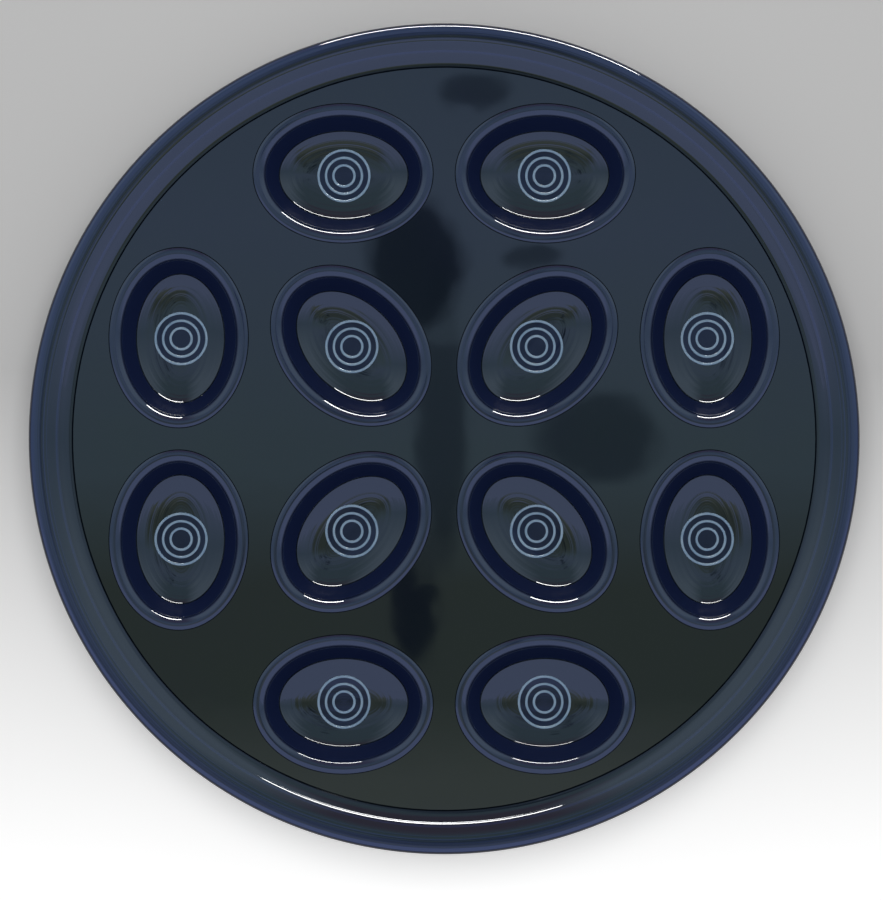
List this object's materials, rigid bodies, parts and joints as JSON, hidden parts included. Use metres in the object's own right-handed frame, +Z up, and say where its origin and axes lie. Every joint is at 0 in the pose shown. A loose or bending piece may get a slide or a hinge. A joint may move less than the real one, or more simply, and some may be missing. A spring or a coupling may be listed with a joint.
{
  "type": "egg platter",
  "caption": "Round glazed stoneware platter with oval wells for halved eggs, raised collars, ringed well floors, a coved rim and a foot ring.",
  "frame": {"origin": "middle of the foot ring's flat underside", "axes": "+Z up out of the deck, +Y towards one pair of outer wells, +X towards the next pair"},
  "size_m": [0.292, 0.292, 0.0215],
  "materials": {
    "cobalt_glaze": "glossy dark cobalt glaze over stoneware",
    "pale_slip": "pale blue-grey slip under a thin gloss glaze"
  },
  "bodies": {
    "root": {"deck": "cobalt_glaze", "rim": "cobalt_glaze", "foot_ring": "cobalt_glaze", "egg_well_1": "cobalt_glaze", "egg_well_2": "cobalt_glaze", "egg_well_3": "cobalt_glaze", "egg_well_4": "cobalt_glaze", "egg_well_5": "cobalt_glaze", "egg_well_6": "cobalt_glaze", "egg_well_7": "cobalt_glaze", "egg_well_8": "cobalt_glaze", "egg_well_9": "cobalt_glaze", "egg_well_10": "cobalt_glaze", "egg_well_11": "cobalt_glaze", "egg_well_12": "cobalt_glaze", "slip_rings_1": "pale_slip", "slip_rings_2": "pale_slip", "slip_rings_3": "pale_slip", "slip_rings_4": "pale_slip", "slip_rings_5": "pale_slip", "slip_rings_6": "pale_slip", "slip_rings_7": "pale_slip", "slip_rings_8": "pale_slip", "slip_rings_9": "pale_slip", "slip_rings_10": "pale_slip", "slip_rings_11": "pale_slip", "slip_rings_12": "pale_slip"}
  },
  "joints": []
}
